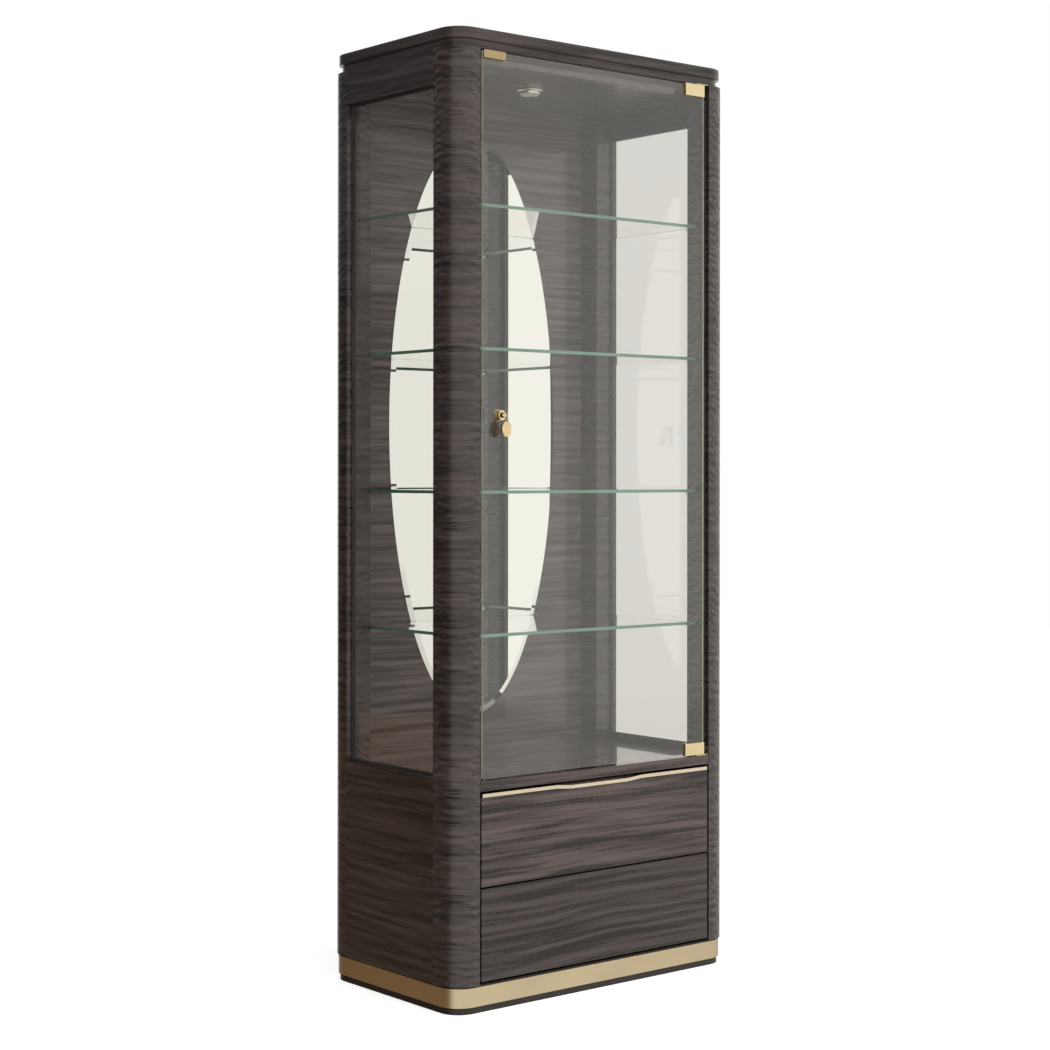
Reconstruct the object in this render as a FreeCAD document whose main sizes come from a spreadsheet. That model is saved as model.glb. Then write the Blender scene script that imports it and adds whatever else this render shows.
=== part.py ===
"""China cabinet: a glazed display case with one lockable glass door above two drawers.

Millimetres. X runs to the right, Y to the back and Z up; the origin is on the floor under the
middle of the case. Every size is a cell of the sheet "dim" and the sub-parts are bound to it.
"""
import FreeCAD
import Part
import Sketcher

import math
import os

doc = FreeCAD.newDocument("china_cabinet")
sheet = doc.addObject("Spreadsheet::Sheet", "dim")

SIZES = [
    # overall case
    ("case_width", 760),
    ("case_depth", 440),
    ("case_height", 1950),
    ("corner_radius", 52),
    ("edge_ease", 1.5),
    # levels, from the floor up
    ("band_bottom", 14),
    ("band_top", 52),
    ("case_bottom", 55),
    ("lower_front_bottom", 61),
    ("lower_front_top", 245),
    ("upper_front_bottom", 248),
    ("upper_front_top", 426),
    ("rail_bottom", 437.5),
    ("floor_top", 453),
    ("rail_top", 458),
    ("window_bottom", 466),
    ("window_top", 1840),
    ("ceiling_bottom", 1895),
    ("case_top", 1911),
    ("slab_bottom", 1927),
    # plinth, band and cornice
    ("foot_inset", 7),
    ("band_inset", 3),
    ("plinth_wall", 46),
    ("plinth_rail", 46),
    ("neck_inset", 10),
    ("slab_inset", 3),
    ("slab_ease", 2.5),
    # carcase
    ("post_width", 64),
    ("post_depth", 70),
    ("side_thickness", 33),
    ("board_thickness", 18),
    ("front_rail_depth", 40),
    ("ceiling_setback", 23),
    ("back_inset", 3),
    ("back_thickness", 12),
    # glazing of the sides
    ("pane_setback", 15),
    ("pane_thickness", 6),
    ("gasket_web", 2),
    ("gasket_lip", 4),
    ("gasket_inner_lip", 2),
    ("gasket_outer_lip", 2.5),
    # door
    ("door_half_width", 305),
    ("door_setback", 6),
    ("door_thickness", 5),
    ("door_bottom", 462),
    ("door_top", 1907),
    ("pivot_offset", 13),
    ("pivot_radius", 2.5),
    ("running_clearance", 0.05),
    ("clamp_width", 56),
    ("clamp_height", 26),
    ("clamp_lap", 2),
    ("clamp_front", 3),
    ("clamp_back", 4),
    ("bearing_thickness", 1.5),
    ("bearing_width", 34),
    ("bearing_depth", 18),
    ("catch_height", 16),
    ("catch_corner", 3),
    ("seal_width", 9),
    ("seal_depth", 6),
    ("seal_gap", 0.5),
    ("seal_end_margin", 28),
    ("stop_strip_height", 11),
    ("stop_strip_depth", 20),
    ("stop_strip_gap", 4.5),
    ("stop_strip_right_end", 225),
    # lock, key and fob
    ("lock_inset", 45),
    ("lock_height", 1184),
    ("rose_radius", 10),
    ("rose_depth", 6),
    ("barrel_radius", 8),
    ("lock_nut_radius", 11),
    ("lock_nut_depth", 8),
    ("plug_radius", 5.45),
    ("plug_proud", 1),
    ("cam_length", 44),
    ("cam_width", 12),
    ("cam_thickness", 2.5),
    ("strike_thickness", 1.5),
    ("strike_reach", 22),
    ("strike_height", 26),
    ("blade_width", 6.8),
    ("blade_thickness", 2),
    ("slot_clearance", 0.1),
    ("bow_radius", 5.5),
    ("bow_wire", 1.1),
    ("shank_length", 5),
    ("ring_radius", 3.1),
    ("ring_wire", 0.6),
    ("link_gap", 0.25),
    ("eyelet_radius", 1.9),
    ("fob_width", 24),
    ("fob_height", 32),
    ("fob_thickness", 7),
    ("fob_ease", 2.5),
    # shelves and mirror
    ("shelf_half_width", 313),
    ("shelf_thickness", 6.5),
    ("shelf_front", 40),
    ("shelf_back_gap", 5),
    ("shelf_pitch", 288),
    ("first_shelf", 739),
    ("pin_radius", 3),
    ("pin_length", 9),
    ("pin_front_inset", 22),
    ("pin_back_inset", 17),
    ("mirror_height", 1281),
    ("mirror_width", 458),
    ("mirror_centre", 1172.5),
    ("mirror_thickness", 4),
    ("mirror_edge", 1.6),
    ("mirror_bevel", 13),
    # light
    ("light_radius", 30),
    ("light_height", 10),
    ("light_wall", 6),
    ("lens_thickness", 3),
    ("lens_recess", 1),
    ("light_back", 10),
    # drawers
    ("front_half_width", 312),
    ("front_thickness", 20),
    ("pull_half_width", 310),
    ("pull_height", 7),
    ("pull_depth", 18),
    ("pull_proud", 1),
    ("scoop_half_width", 118),
    ("scoop_slope", 40),
    ("scoop_depth", 3.5),
    ("scoop_floor", 7),
    ("scoop_reach", 10),
    ("drawer_half_width", 305),
    ("drawer_length", 380),
    ("drawer_side", 12),
    ("drawer_floor", 8),
    ("drawer_floor_rise", 10),
    ("drawer_lift", 17),
    ("drawer_drop", 26),
    ("groove_depth", 6),
    ("groove_play", 0.3),
    ("runner_height", 12),
    ("runner_rise", 50),
    ("runner_gap", 0.5),
    ("runner_end", 22),
]
for row, (alias, value) in enumerate(SIZES, start=1):
    sheet.set("A%d" % row, alias.replace("_", " "))
    sheet.set("B%d" % row, str(value))
    sheet.setAlias("B%d" % row, alias)
doc.recompute()

HALF_WIDTH = "dim.case_width / 2"
BACK = "dim.case_depth / 2"
FRONT = "-dim.case_depth / 2"
POST_INNER = "(dim.case_width / 2 - dim.post_width)"
POST_REAR = "(dim.case_depth / 2 - dim.post_depth)"
SIDE_INNER = "(dim.case_width / 2 - dim.side_thickness)"
BACK_PANEL = "(dim.case_depth / 2 - dim.back_inset - dim.back_thickness)"
GLASS_FRONT = "(-dim.case_depth / 2 + dim.door_setback)"
GLASS_REAR = "(-dim.case_depth / 2 + dim.door_setback + dim.door_thickness)"
GLASS_MIDDLE = "(-dim.case_depth / 2 + dim.door_setback + dim.door_thickness / 2)"
FRONT_REAR = "(-dim.case_depth / 2 + dim.front_thickness)"
PIVOT_X = "(dim.door_half_width - dim.pivot_offset)"
LOCK_X = "(-dim.door_half_width + dim.lock_inset)"
FOUR_CORNERS = [(-1, -1), (1, -1), (-1, 1), (1, 1)]
FINISHED = []


def measure(expression):
    """The number that an expression of sheet cells stands for."""
    return float(sheet.evalExpression(expression))


def finish(thing, label):
    """Name a finished sub-part and keep it for the export."""
    thing.Label = label
    FINISHED.append(thing)
    return thing


def place(thing, x, y, z):
    thing.setExpression("Placement.Base.x", x)
    thing.setExpression("Placement.Base.y", y)
    thing.setExpression("Placement.Base.z", z)


def block(x_span, y_span, z_span):
    """A plain box between two expressions on each axis."""
    box = doc.addObject("Part::Box", "Block")
    box.setExpression("Length", "(%s) - (%s)" % (x_span[1], x_span[0]))
    box.setExpression("Width", "(%s) - (%s)" % (y_span[1], y_span[0]))
    box.setExpression("Height", "(%s) - (%s)" % (z_span[1], z_span[0]))
    place(box, x_span[0], y_span[0], z_span[0])
    return box


def board(label, x_span, y_span, z_span):
    return finish(block(x_span, y_span, z_span), label)


def mirrored(side, inner, outer):
    """The X span from inner to outer on one side of the case, low end first."""
    if side > 0:
        return (inner, outer)
    return ("-(%s)" % outer, "-(%s)" % inner)


def turned(thing, axis, degrees):
    thing.Placement.Rotation = FreeCAD.Rotation(axis, degrees)
    return thing


def rod(radius, y_span, x, z):
    """A cylinder that lies along Y between two expressions."""
    cylinder = doc.addObject("Part::Cylinder", "Rod")
    cylinder.setExpression("Radius", radius)
    cylinder.setExpression("Height", "(%s) - (%s)" % (y_span[1], y_span[0]))
    turned(cylinder, FreeCAD.Vector(1, 0, 0), -90)
    place(cylinder, x, y_span[0], z)
    return cylinder


def disc(radius, x, y, z_span):
    """A cylinder that stands along Z between two expressions."""
    cylinder = doc.addObject("Part::Cylinder", "Disc")
    cylinder.setExpression("Radius", radius)
    cylinder.setExpression("Height", "(%s) - (%s)" % (z_span[1], z_span[0]))
    place(cylinder, x, y, z_span[0])
    return cylinder


def hoop(radius, wire, axis, x, y, z):
    """A ring of round wire whose axis is X or Y."""
    torus = doc.addObject("Part::Torus", "Hoop")
    torus.setExpression("Radius1", radius)
    torus.setExpression("Radius2", wire)
    if axis == "x":
        turned(torus, FreeCAD.Vector(0, 1, 0), 90)
    else:
        turned(torus, FreeCAD.Vector(1, 0, 0), 90)
    place(torus, x, y, z)
    return torus


def cut(base, tool):
    result = doc.addObject("Part::Cut", "Cut")
    result.Base = base
    result.Tool = tool
    return result


def fuse(*pieces):
    result = doc.addObject("Part::MultiFuse", "Fuse")
    result.Shapes = list(pieces)
    result.Refine = True
    return result


def group(*pieces):
    result = doc.addObject("Part::Compound", "Group")
    result.Links = list(pieces)
    return result


def origin_plane(body, role):
    return next(item for item in body.Origin.OriginFeatures if item.Role == role)


def new_sketch(body, role):
    sketch = body.newObject("Sketcher::SketchObject", "Sketch")
    sketch.AttachmentSupport = [(origin_plane(body, role), "")]
    sketch.MapMode = "FlatFace"
    return sketch


def pin_point(sketch, geometry, point, x, y):
    """Hold one point of the sketch at a pair of expressions."""
    for kind, expression in (("DistanceX", x), ("DistanceY", y)):
        index = sketch.addConstraint(
            Sketcher.Constraint(kind, -1, 1, geometry, point, measure(expression)))
        sketch.setExpression("Constraints[%d]" % index, expression)


def outline(sketch, corners):
    """A closed outline of straight lines whose corners are pairs of expressions."""
    points = [FreeCAD.Vector(measure(x), measure(y), 0) for x, y in corners]
    count = len(points)
    for number in range(count):
        line = Part.LineSegment(points[number], points[(number + 1) % count])
        sketch.addGeometry(line, False)
    for number in range(count):
        sketch.addConstraint(
            Sketcher.Constraint("Coincident", number, 2, (number + 1) % count, 1))
    for number, (x, y) in enumerate(corners):
        pin_point(sketch, number, 1, x, y)


def rectangle(half_width, half_depth):
    return [("-(%s)" % half_width, "-(%s)" % half_depth), (half_width, "-(%s)" % half_depth),
            (half_width, half_depth), ("-(%s)" % half_width, half_depth)]


def pad(body, sketch, length, reverse=False):
    feature = body.newObject("PartDesign::Pad", "Pad")
    feature.Profile = sketch
    feature.Reversed = reverse
    feature.setExpression("Length", length)
    sketch.Visibility = False
    doc.recompute()
    return feature


def round_edges(body, base, wanted, radius):
    """Round every edge of the base feature for which wanted(edge) holds."""
    names = ["Edge%d" % number for number, edge in enumerate(base.Shape.Edges, start=1)
             if wanted(edge)]
    fillet = body.newObject("PartDesign::Fillet", "Fillet")
    fillet.Base = (base, names)
    fillet.setExpression("Radius", radius)
    doc.recompute()
    return fillet


def is_vertical(edge):
    box = edge.BoundBox
    return box.ZLength > 1 and box.XLength + box.YLength < 0.01


def lies_at(edge, axis, value):
    """True for an edge that lies wholly in the plane axis = value."""
    box = edge.BoundBox
    low, high = getattr(box, axis + "Min"), getattr(box, axis + "Max")
    return abs(low - value) < 0.01 and abs(high - value) < 0.01


def rounded_board(inset, bottom, top, ease=None):
    """A board that follows the plan of the case, inset all round, with rounded corners."""
    body = doc.addObject("PartDesign::Body", "Body")
    sketch = new_sketch(body, "XY_Plane")
    outline(sketch, rectangle("%s - %s" % (HALF_WIDTH, inset), "%s - %s" % (BACK, inset)))
    feature = pad(body, sketch, "%s - %s" % (top, bottom))
    feature = round_edges(body, feature, is_vertical, "dim.corner_radius - %s" % inset)
    if ease:
        height = measure("%s - %s" % (top, bottom))
        feature = round_edges(
            body, feature, lambda edge: lies_at(edge, "Z", 0) or lies_at(edge, "Z", height), ease)
    body.setExpression("Placement.Base.z", bottom)
    return body


def notched_board(label, front, bottom, top):
    """A board between the sides, notched round the four posts."""
    body = doc.addObject("PartDesign::Body", "Body")
    sketch = new_sketch(body, "XY_Plane")
    right = [(POST_INNER, front), (POST_INNER, "-" + POST_REAR), (SIDE_INNER, "-" + POST_REAR),
             (SIDE_INNER, POST_REAR), (POST_INNER, POST_REAR), (POST_INNER, BACK_PANEL)]
    left = [("-" + x, y) for x, y in reversed(right)]
    outline(sketch, right + left)
    pad(body, sketch, "%s - %s" % (top, bottom))
    body.setExpression("Placement.Base.z", bottom)
    return finish(body, label)


def eased_front(bottom, top, half_width, depth):
    """A board in the front plane whose visible edges are eased."""
    body = doc.addObject("PartDesign::Body", "Body")
    sketch = new_sketch(body, "XY_Plane")
    outline(sketch, [("-" + half_width, "0"), (half_width, "0"),
                     (half_width, depth), ("-" + half_width, depth)])
    feature = pad(body, sketch, "%s - %s" % (top, bottom))
    round_edges(body, feature, lambda edge: lies_at(edge, "Y", 0), "dim.edge_ease")
    body.setExpression("Placement.Base.y", FRONT)
    body.setExpression("Placement.Base.z", bottom)
    return body


# --- plinth and brass band -------------------------------------------------------------------

def make_plinth():
    shell = rounded_board("dim.foot_inset", "0", "dim.case_bottom")
    wall = "(dim.foot_inset + dim.plinth_wall)"
    wells = [block(mirrored(side, "dim.plinth_rail / 2", "%s - %s" % (HALF_WIDTH, wall)),
                   ("%s + %s" % (FRONT, wall), "%s - %s" % (BACK, wall)),
                   ("-1", "dim.case_bottom + 1"))
             for side in (-1, 1)]
    finish(cut(shell, group(*wells)), "plinth_frame")


def make_band():
    levels = ("dim.band_bottom", "dim.band_top")
    for label, side in (("brass_band_front", -1), ("brass_band_back", 1)):
        board(label, ("-" + POST_INNER, POST_INNER),
              mirrored(side, BACK + " - dim.foot_inset", BACK + " - dim.band_inset"), levels)
    for label, side in (("brass_band_left", -1), ("brass_band_right", 1)):
        board(label, mirrored(side, HALF_WIDTH + " - dim.foot_inset",
                              HALF_WIDTH + " - dim.band_inset"),
              ("-" + POST_REAR, POST_REAR), levels)
    outer = rounded_board("dim.band_inset", *levels)
    inner = rounded_board("dim.foot_inset", *levels)
    corners = [block(mirrored(side, POST_INNER, HALF_WIDTH), mirrored(end, POST_REAR, BACK), levels)
               for side, end in FOUR_CORNERS]
    bends = doc.addObject("Part::MultiCommon", "Bends")
    bends.Shapes = [cut(outer, inner), group(*corners)]
    finish(bends, "brass_band_corners")


# --- carcase ---------------------------------------------------------------------------------

def make_post(label, side, end):
    """A corner post: square inside, rounded to the plan of the case outside."""
    body = doc.addObject("PartDesign::Body", "Body")
    sketch = new_sketch(body, "XY_Plane")
    x_low, x_high = mirrored(side, POST_INNER, HALF_WIDTH)
    y_low, y_high = mirrored(end, POST_REAR, BACK)
    outline(sketch, [(x_low, y_low), (x_high, y_low), (x_high, y_high), (x_low, y_high)])
    feature = pad(body, sketch, "dim.case_top - dim.case_bottom")
    corner = FreeCAD.Vector(side * measure(HALF_WIDTH), end * measure(BACK), 0)

    def at_corner(edge):
        middle = edge.CenterOfMass
        return is_vertical(edge) and math.hypot(middle.x - corner.x, middle.y - corner.y) < 1

    feature = round_edges(body, feature, at_corner, "dim.corner_radius")
    height = measure("dim.case_top - dim.case_bottom")

    def on_show(edge):
        middle = edge.CenterOfMass
        outside = (abs(middle.x) > measure(POST_INNER) + 1 and abs(middle.y) > measure(POST_REAR) + 1)
        joint = lies_at(edge, "X", side * measure(POST_INNER)) or lies_at(
            edge, "Y", end * measure(POST_REAR))
        return outside and not joint and lies_at(edge, "Z", height)

    round_edges(body, feature, on_show, "dim.edge_ease")
    body.setExpression("Placement.Base.z", "dim.case_bottom")
    finish(body, label)


def make_carcase():
    for label, (side, end) in zip(("front_left_post", "front_right_post",
                                   "rear_left_post", "rear_right_post"), FOUR_CORNERS):
        make_post(label, side, end)
    for name, side in (("left", -1), ("right", 1)):
        span = mirrored(side, SIDE_INNER, HALF_WIDTH)
        run = ("-" + POST_REAR, POST_REAR)
        board(name + "_lower_side", span, run, ("dim.case_bottom", "dim.window_bottom"))
        board(name + "_top_rail", span, run, ("dim.window_top", "dim.case_top"))
    notched_board("bottom_board", FRONT_REAR + " + 2", "dim.case_bottom",
                  "(dim.case_bottom + dim.board_thickness)")
    notched_board("display_floor", "(%s + dim.front_rail_depth)" % FRONT,
                  "dim.rail_bottom", "dim.floor_top")
    notched_board("ceiling_board", "(%s + dim.ceiling_setback)" % FRONT,
                  "dim.ceiling_bottom", "dim.case_top")
    finish(eased_front("dim.rail_bottom", "dim.rail_top", POST_INNER, "dim.front_rail_depth"),
           "front_rail")
    board("back_panel", ("-" + POST_INNER, POST_INNER),
          (BACK_PANEL, BACK_PANEL + " + dim.back_thickness"), ("dim.case_bottom", "dim.case_top"))
    finish(rounded_board("dim.neck_inset", "dim.case_top", "dim.slab_bottom"), "neck_board")
    finish(rounded_board("dim.slab_inset", "dim.slab_bottom", "dim.case_height", "dim.slab_ease"),
           "top_slab")


# --- glazing of the sides --------------------------------------------------------------------

def make_side_glazing(name, side):
    outer_face = "(dim.case_width / 2 - dim.pane_setback)"
    inner_face = "(%s - dim.pane_thickness)" % outer_face
    glass_x = mirrored(side, inner_face, outer_face)
    web = "dim.gasket_web"
    glass_y = ("-%s + %s" % (POST_REAR, web), "%s - %s" % (POST_REAR, web))
    glass_z = ("dim.window_bottom + " + web, "dim.window_top - " + web)
    board(name + "_side_pane", glass_x, glass_y, glass_z)
    channel_x = mirrored(side, inner_face + " - dim.gasket_inner_lip",
                         outer_face + " + dim.gasket_outer_lip")
    channel = block(channel_x, ("-" + POST_REAR, POST_REAR), ("dim.window_bottom", "dim.window_top"))
    lip = "dim.gasket_lip"
    sight = block(("%s - 1" % channel_x[0], "%s + 1" % channel_x[1]),
                  ("-%s + %s" % (POST_REAR, lip), "%s - %s" % (POST_REAR, lip)),
                  ("dim.window_bottom + " + lip, "dim.window_top - " + lip))
    finish(cut(cut(channel, sight), block(glass_x, glass_y, glass_z)), name + "_pane_gasket")


# --- door ------------------------------------------------------------------------------------

def make_door_glass():
    sheet_of_glass = block(("-dim.door_half_width", "dim.door_half_width"),
                           (GLASS_FRONT, GLASS_REAR), ("dim.door_bottom", "dim.door_top"))
    hole = rod("dim.barrel_radius", (GLASS_FRONT + " - 1", GLASS_REAR + " + 1"),
               LOCK_X, "dim.lock_height")
    finish(cut(sheet_of_glass, hole), "door_glass")


def make_hinge_clamp(label, upper):
    """A brass clip round a corner of the glass, with the pivot pin that carries the door."""
    if upper:
        z_span = ("dim.door_top + dim.clamp_lap - dim.clamp_height", "dim.door_top + dim.clamp_lap")
        slot_z = (z_span[0] + " - 1", "dim.door_top")
        pin_z = (z_span[1], "dim.case_top - dim.link_gap")
    else:
        z_span = ("dim.door_bottom - dim.clamp_lap",
                  "dim.door_bottom - dim.clamp_lap + dim.clamp_height")
        slot_z = ("dim.door_bottom", z_span[1] + " + 1")
        pin_z = ("dim.rail_top + dim.link_gap", z_span[0])
    x_span = ("dim.door_half_width - dim.clamp_width", "dim.door_half_width")
    clip = block(x_span, (GLASS_FRONT + " - dim.clamp_front", GLASS_REAR + " + dim.clamp_back"),
                 z_span)
    slot = block((x_span[0] + " - 1", x_span[1] + " + 1"), (GLASS_FRONT, GLASS_REAR), slot_z)
    pin = disc("dim.pivot_radius", PIVOT_X, GLASS_MIDDLE, pin_z)
    finish(fuse(cut(clip, slot), pin), label)


def make_bearing_plates():
    """The two plates on the case in which the pivot pins turn."""
    x_span = (POST_INNER + " - dim.bearing_width", POST_INNER)
    y_span = (GLASS_MIDDLE + " - dim.bearing_depth / 3", GLASS_MIDDLE + " + dim.bearing_depth * 2 / 3")
    plates = []
    for z_span in (("dim.rail_top", "dim.rail_top + dim.bearing_thickness"),
                   ("dim.case_top - dim.bearing_thickness", "dim.case_top")):
        bore = disc("dim.pivot_radius + dim.running_clearance", PIVOT_X, GLASS_MIDDLE,
                    (z_span[0] + " - 1", z_span[1] + " + 1"))
        plates.append(cut(block(x_span, y_span, z_span), bore))
    finish(group(*plates), "hinge_bearing_plates")


def make_catch():
    """The brass clip on the free corner of the glass and the magnet that holds it."""
    x_span = ("-dim.door_half_width", "-dim.door_half_width + dim.clamp_width")
    z_span = ("dim.door_top + dim.clamp_lap - dim.catch_height", "dim.door_top + dim.clamp_lap")
    body = doc.addObject("PartDesign::Body", "Body")
    sketch = new_sketch(body, "XZ_Plane")
    outline(sketch, [(x_span[0], z_span[0]), (x_span[1], z_span[0]),
                     (x_span[1], z_span[1]), (x_span[0], z_span[1])])
    thickness = "dim.clamp_front + dim.door_thickness + dim.clamp_back"
    feature = pad(body, sketch, thickness)
    round_edges(body, feature,
                lambda edge: edge.BoundBox.XLength + edge.BoundBox.ZLength < 0.01, "dim.catch_corner")
    body.setExpression("Placement.Base.y", GLASS_REAR + " + dim.clamp_back")
    slot = block((x_span[0] + " - 1", x_span[1] + " + 1"), (GLASS_FRONT, GLASS_REAR),
                 (z_span[0] + " - 1", "dim.door_top"))
    finish(cut(body, slot), "catch_plate")
    board("catch_magnet", (x_span[0] + " + 4", x_span[1] + " - 4"),
          (GLASS_REAR + " + dim.clamp_back + dim.seal_gap", "%s + dim.ceiling_setback" % FRONT),
          ("dim.ceiling_bottom + 1", "dim.case_top - 2"))


def make_stops():
    """The strip that the door closes against and the black seals down the two posts."""
    strip_front = GLASS_REAR + " + dim.stop_strip_gap"
    board("door_stop_strip", ("-" + POST_INNER, "dim.stop_strip_right_end"),
          (strip_front, strip_front + " + dim.stop_strip_depth"),
          ("dim.ceiling_bottom - dim.stop_strip_height", "dim.ceiling_bottom"))
    seals = [block(mirrored(side, POST_INNER + " - dim.seal_width", POST_INNER),
                   (GLASS_REAR + " + dim.seal_gap", GLASS_REAR + " + dim.seal_gap + dim.seal_depth"),
                   ("dim.door_bottom + dim.seal_end_margin", "dim.door_top - dim.seal_end_margin"))
             for side in (-1, 1)]
    finish(group(*seals), "door_edge_seals")


# --- lock, key and fob -----------------------------------------------------------------------

CAM_FRONT = "(%s + dim.lock_nut_depth + 1)" % GLASS_REAR
PLUG_FRONT = "(%s - dim.rose_depth - dim.plug_proud)" % GLASS_FRONT
BOW_Y = "(%s - dim.shank_length - dim.bow_radius)" % PLUG_FRONT
LINK_Z = "(dim.lock_height - dim.bow_radius)"


def make_lock():
    rose = rod("dim.rose_radius", (GLASS_FRONT + " - dim.rose_depth", GLASS_FRONT),
               LOCK_X, "dim.lock_height")
    barrel = rod("dim.barrel_radius", (GLASS_FRONT + " - 1", GLASS_REAR + " + 1"),
                 LOCK_X, "dim.lock_height")
    nut = rod("dim.lock_nut_radius", (GLASS_REAR, GLASS_REAR + " + dim.lock_nut_depth"),
              LOCK_X, "dim.lock_height")
    bore = rod("dim.plug_radius + dim.running_clearance",
               (GLASS_FRONT + " - dim.rose_depth - 1", GLASS_REAR + " + dim.lock_nut_depth + 1"),
               LOCK_X, "dim.lock_height")
    finish(cut(fuse(rose, barrel, nut), bore), "lock_housing")

    plug = rod("dim.plug_radius", (PLUG_FRONT, CAM_FRONT), LOCK_X, "dim.lock_height")
    cam = block((LOCK_X + " - dim.cam_width / 2", LOCK_X + " + dim.cam_width / 2"),
                (CAM_FRONT, CAM_FRONT + " + dim.cam_thickness"),
                ("dim.lock_height - dim.cam_length", "dim.lock_height + dim.cam_width / 2"))
    half_slot = "(dim.blade_thickness / 2 + dim.slot_clearance)"
    half_width = "(dim.blade_width / 2 + dim.slot_clearance)"
    keyway = block(("%s - %s" % (LOCK_X, half_slot), "%s + %s" % (LOCK_X, half_slot)),
                   (PLUG_FRONT + " - 1", GLASS_REAR),
                   ("dim.lock_height - " + half_width, "dim.lock_height + " + half_width))
    finish(cut(fuse(plug, cam), keyway), "lock_plug")

    tongue_y = (CAM_FRONT + " - dim.seal_gap - dim.strike_thickness", CAM_FRONT + " - dim.seal_gap")
    strike_z = ("dim.lock_height - dim.strike_height / 2", "dim.lock_height + dim.strike_height / 2")
    tongue = block(mirrored(-1, POST_INNER + " - dim.strike_reach", POST_INNER), tongue_y, strike_z)
    foot = block(mirrored(-1, POST_INNER + " - dim.strike_thickness", POST_INNER),
                 (tongue_y[0], tongue_y[0] + " + dim.strike_reach"), strike_z)
    finish(fuse(tongue, foot), "lock_strike")


def make_key():
    blade = block((LOCK_X + " - dim.blade_thickness / 2", LOCK_X + " + dim.blade_thickness / 2"),
                  (PLUG_FRONT + " - dim.shank_length / 2", GLASS_REAR + " - 1"),
                  ("dim.lock_height - dim.blade_width / 2", "dim.lock_height + dim.blade_width / 2"))
    shank = rod("dim.blade_width / 2", (PLUG_FRONT + " - dim.shank_length - dim.bow_wire / 2",
                                        PLUG_FRONT + " - dim.link_gap"), LOCK_X, "dim.lock_height")
    bow = hoop("dim.bow_radius", "dim.bow_wire", "x", LOCK_X, BOW_Y, "dim.lock_height")
    finish(fuse(blade, shank, bow), "door_key")


def make_fob():
    """A split ring through the bow of the key, and the oval fob that hangs from it."""
    ring_z = "(%s + dim.bow_wire + dim.ring_wire + dim.link_gap - dim.ring_radius)" % LINK_Z
    finish(hoop("dim.ring_radius", "dim.ring_wire", "y", LOCK_X, BOW_Y, ring_z), "key_ring")
    eyelet_z = ("(%s - dim.ring_radius + 2 * dim.ring_wire + dim.link_gap - dim.eyelet_radius)"
                % ring_z)
    eyelet = hoop("dim.eyelet_radius", "dim.ring_wire", "x", LOCK_X, BOW_Y, eyelet_z)
    body = doc.addObject("PartDesign::Body", "Body")
    oval = ellipse_sketch(body, "dim.fob_height / 2", "dim.fob_width / 2", "0")
    feature = pad(body, oval, "dim.fob_thickness")
    round_edges(body, feature, lambda edge: edge.BoundBox.YLength < 0.01, "dim.fob_ease")
    place(body, LOCK_X, BOW_Y + " + dim.fob_thickness / 2",
          "%s - dim.eyelet_radius - dim.fob_height / 2" % eyelet_z)
    finish(fuse(body, eyelet), "key_fob")


# --- shelves, mirror and light ---------------------------------------------------------------

def shelf_bottom(number):
    return "(dim.first_shelf + %d * dim.shelf_pitch)" % number


def make_shelves():
    pins = []
    back_edge = BACK_PANEL + " - dim.shelf_back_gap"
    front_edge = FRONT + " + dim.shelf_front"
    for number in range(4):
        bottom = shelf_bottom(number)
        board("glass_shelf_%d" % (number + 1), ("-dim.shelf_half_width", "dim.shelf_half_width"),
              (front_edge, back_edge), (bottom, bottom + " + dim.shelf_thickness"))
        for side in (-1, 1):
            for y in (front_edge + " + dim.pin_front_inset", back_edge + " - dim.pin_back_inset"):
                pin = doc.addObject("Part::Cylinder", "Pin")
                pin.setExpression("Radius", "dim.pin_radius")
                pin.setExpression("Height", "dim.pin_length")
                turned(pin, FreeCAD.Vector(0, 1, 0), 90)
                place(pin, mirrored(side, POST_INNER + " - dim.pin_length", POST_INNER)[0], y,
                      bottom + " - dim.pin_radius")
                pins.append(pin)
    finish(group(*pins), "shelf_pins")


def ellipse_sketch(body, half_height, half_width, depth):
    """An upright ellipse on the XZ plane, carried forward by depth."""
    sketch = new_sketch(body, "XZ_Plane")
    sketch.setExpression("AttachmentOffset.Base.z", depth)
    centre = FreeCAD.Vector(0, 0, 0)
    tall = FreeCAD.Vector(0, measure(half_height), 0)
    wide = FreeCAD.Vector(measure(half_width), 0, 0)
    curve = sketch.addGeometry(Part.Ellipse(tall, wide, centre), False)
    sketch.exposeInternalGeometry(curve)
    sketch.addConstraint(Sketcher.Constraint("Coincident", curve, 3, -1, 1))
    major, minor = 1, 2
    sketch.addConstraint(Sketcher.Constraint("Vertical", major))
    for axis, size in ((major, half_height), (minor, half_width)):
        index = sketch.addConstraint(Sketcher.Constraint("Distance", axis, 2 * measure(size)))
        sketch.setExpression("Constraints[%d]" % index, "2 * (%s)" % size)
    return sketch


def make_mirror():
    """The oval mirror: a thin edge and a wide bevel up to the flat face."""
    body = doc.addObject("PartDesign::Body", "Body")
    half_height, half_width = "dim.mirror_height / 2", "dim.mirror_width / 2"
    back = ellipse_sketch(body, half_height, half_width, "0")
    pad(body, back, "dim.mirror_edge")
    rim = ellipse_sketch(body, half_height, half_width, "dim.mirror_edge")
    face = ellipse_sketch(body, half_height + " - dim.mirror_bevel",
                          half_width + " - dim.mirror_bevel", "dim.mirror_thickness")
    loft = body.newObject("PartDesign::AdditiveLoft", "Bevel")
    loft.Profile = rim
    loft.Sections = [face]
    loft.Ruled = True
    body.setExpression("Placement.Base.y", BACK_PANEL)
    body.setExpression("Placement.Base.z", "dim.mirror_centre")
    finish(body, "oval_mirror")


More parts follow.
